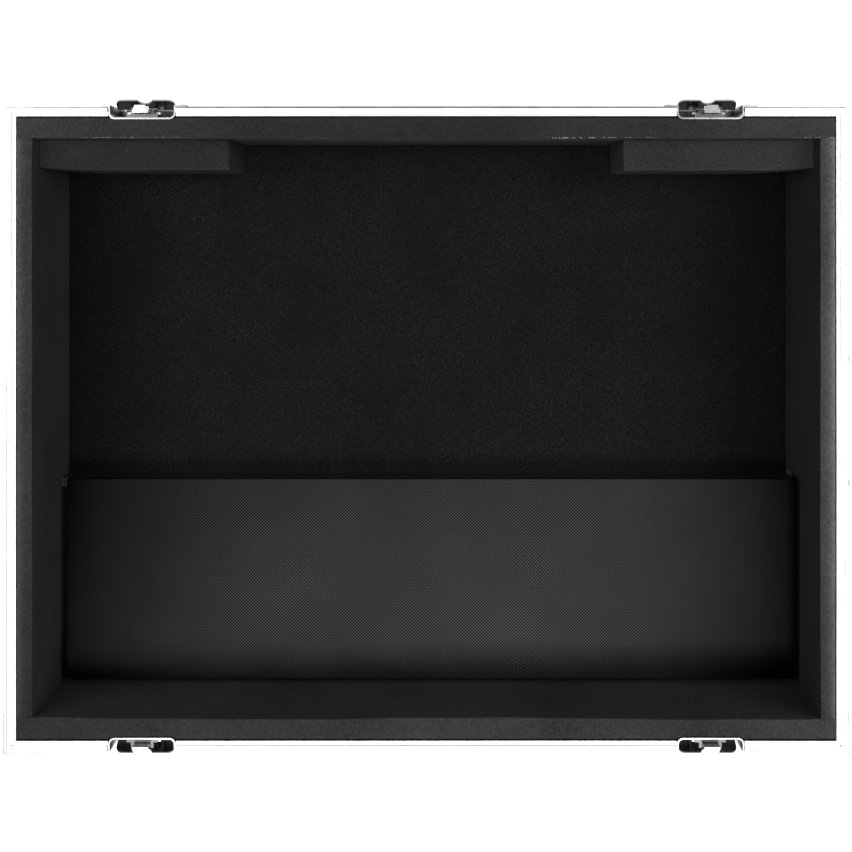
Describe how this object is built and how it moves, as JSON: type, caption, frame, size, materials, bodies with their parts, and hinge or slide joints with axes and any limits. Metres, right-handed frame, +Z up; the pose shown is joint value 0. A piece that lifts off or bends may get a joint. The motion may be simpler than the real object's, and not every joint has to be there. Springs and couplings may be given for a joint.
{
  "type": "flight case base tray",
  "caption": "Open base tray of a mixer flight case with foam lining, felt floor, lift-out step board, butterfly latches, side handles and ball corners.",
  "frame": {"origin": "centre of the tray's outline, on the plane that its feet stand on", "axes": "+X along the long side to the right, +Y towards the back wall with the corner blocks, +Z up out of the open tray"},
  "size_m": [0.8512, 0.634, 0.194],
  "materials": {
    "laminate": "black embossed laminate on plywood",
    "edge_aluminium": "satin anodised",
    "plated_steel": "zinc plated",
    "latch_steel": "nickel plated",
    "rivet_steel": "plated rivets",
    "foam": "charcoal closed-cell foam",
    "felt": "black needle felt",
    "bare_wood": "unfinished plywood batten",
    "grip_rubber": "matt black",
    "foot_rubber": "matt black"
  },
  "bodies": {
    "tray": {"bottom_panel": "laminate", "front_panel": "laminate", "front_rim": "edge_aluminium", "front_bottom_angle": "edge_aluminium", "front_foam": "foam", "back_panel": "laminate", "back_rim": "edge_aluminium", "back_bottom_angle": "edge_aluminium", "back_foam": "foam", "left_panel": "laminate", "left_rim": "edge_aluminium", "left_bottom_angle": "edge_aluminium", "left_foam": "foam", "right_panel": "laminate", "right_rim": "edge_aluminium", "right_bottom_angle": "edge_aluminium", "right_foam": "foam", "corner_angle_front_left": "edge_aluminium", "corner_brace_front_left": "plated_steel", "ball_corner_front_left": "plated_steel", "latch_dish_front_left": "plated_steel", "corner_angle_front_right": "edge_aluminium", "corner_brace_front_right": "plated_steel", "ball_corner_front_right": "plated_steel", "latch_dish_front_right": "plated_steel", "corner_angle_back_left": "edge_aluminium", "corner_brace_back_left": "plated_steel", "ball_corner_back_left": "plated_steel", "latch_dish_back_left": "plated_steel", "corner_angle_back_right": "edge_aluminium", "corner_brace_back_right": "plated_steel", "ball_corner_back_right": "plated_steel", "latch_dish_back_right": "plated_steel", "left_corner_block": "foam", "left_handle_plate": "plated_steel", "right_corner_block": "foam", "right_handle_plate": "plated_steel", "floor_mat": "felt", "step_riser": "laminate", "step_cleats": "bare_wood", "rubber_feet": "foot_rubber", "foot_screws": "plated_steel", "rivets": "rivet_steel"},
    "spindle_front_left": {"latch_spindle_front_left": "latch_steel"},
    "wing_front_left": {"latch_wing_front_left": "latch_steel"},
    "hook_front_left": {"latch_hook_front_left": "latch_steel"},
    "spindle_front_right": {"latch_spindle_front_right": "latch_steel"},
    "wing_front_right": {"latch_wing_front_right": "latch_steel"},
    "hook_front_right": {"latch_hook_front_right": "latch_steel"},
    "spindle_back_left": {"latch_spindle_back_left": "latch_steel"},
    "wing_back_left": {"latch_wing_back_left": "latch_steel"},
    "hook_back_left": {"latch_hook_back_left": "latch_steel"},
    "spindle_back_right": {"latch_spindle_back_right": "latch_steel"},
    "wing_back_right": {"latch_wing_back_right": "latch_steel"},
    "hook_back_right": {"latch_hook_back_right": "latch_steel"},
    "step_board": {"step_board": "laminate"},
    "left_bail": {"left_handle_bail": "latch_steel", "left_handle_grip": "grip_rubber"},
    "right_bail": {"right_handle_bail": "latch_steel", "right_handle_grip": "grip_rubber"}
  },
  "joints": [
    {"name": "front_left_latch_turn", "type": "hinge", "parent": "tray", "child": "spindle_front_left", "pos_m": [-0.273, -0.311, 0.156], "axis": [0, -1, 0], "range_deg": [0, 180]},
    {"name": "front_left_wing_fold", "type": "hinge", "parent": "spindle_front_left", "child": "wing_front_left", "pos_m": [-0.273, -0.3085, 0.156], "axis": [1, 0, 0], "range_deg": [-30, 60]},
    {"name": "front_left_hook_pull", "type": "slide", "parent": "tray", "child": "hook_front_left", "axis": [0, 0, -1], "range_m": [0, 0.008]},
    {"name": "front_right_latch_turn", "type": "hinge", "parent": "tray", "child": "spindle_front_right", "pos_m": [0.273, -0.311, 0.156], "axis": [0, -1, 0], "range_deg": [0, 180]},
    {"name": "front_right_wing_fold", "type": "hinge", "parent": "spindle_front_right", "child": "wing_front_right", "pos_m": [0.273, -0.3085, 0.156], "axis": [1, 0, 0], "range_deg": [-30, 60]},
    {"name": "front_right_hook_pull", "type": "slide", "parent": "tray", "child": "hook_front_right", "axis": [0, 0, -1], "range_m": [0, 0.008]},
    {"name": "back_left_latch_turn", "type": "hinge", "parent": "tray", "child": "spindle_back_left", "pos_m": [-0.273, 0.311, 0.156], "axis": [0, 1, 0], "range_deg": [0, 180]},
    {"name": "back_left_wing_fold", "type": "hinge", "parent": "spindle_back_left", "child": "wing_back_left", "pos_m": [-0.273, 0.3085, 0.156], "axis": [-1, 0, 0], "range_deg": [-30, 60]},
    {"name": "back_left_hook_pull", "type": "slide", "parent": "tray", "child": "hook_back_left", "axis": [0, 0, -1], "range_m": [0, 0.008]},
    {"name": "back_right_latch_turn", "type": "hinge", "parent": "tray", "child": "spindle_back_right", "pos_m": [0.273, 0.311, 0.156], "axis": [0, 1, 0], "range_deg": [0, 180]},
    {"name": "back_right_wing_fold", "type": "hinge", "parent": "spindle_back_right", "child": "wing_back_right", "pos_m": [0.273, 0.3085, 0.156], "axis": [-1, 0, 0], "range_deg": [-30, 60]},
    {"name": "back_right_hook_pull", "type": "slide", "parent": "tray", "child": "hook_back_right", "axis": [0, 0, -1], "range_m": [0, 0.008]},
    {"name": "step_board_lift", "type": "slide", "parent": "tray", "child": "step_board", "axis": [0, 0, 1], "range_m": [0, 0.15]},
    {"name": "left_handle_swing", "type": "hinge", "parent": "tray", "child": "left_bail", "pos_m": [-0.4156, 0, 0.1245], "axis": [0, 1, 0], "range_deg": [0, 90]},
    {"name": "right_handle_swing", "type": "hinge", "parent": "tray", "child": "right_bail", "pos_m": [0.4156, 0, 0.1245], "axis": [0, -1, 0], "range_deg": [0, 90]}
  ],
  "couplings": [
    {"joint": "front_left_hook_pull", "follows": "front_left_latch_turn", "m_per_rad": 0.002546},
    {"joint": "front_right_hook_pull", "follows": "front_right_latch_turn", "m_per_rad": 0.002546},
    {"joint": "back_left_hook_pull", "follows": "back_left_latch_turn", "m_per_rad": 0.002546},
    {"joint": "back_right_hook_pull", "follows": "back_right_latch_turn", "m_per_rad": 0.002546}
  ]
}
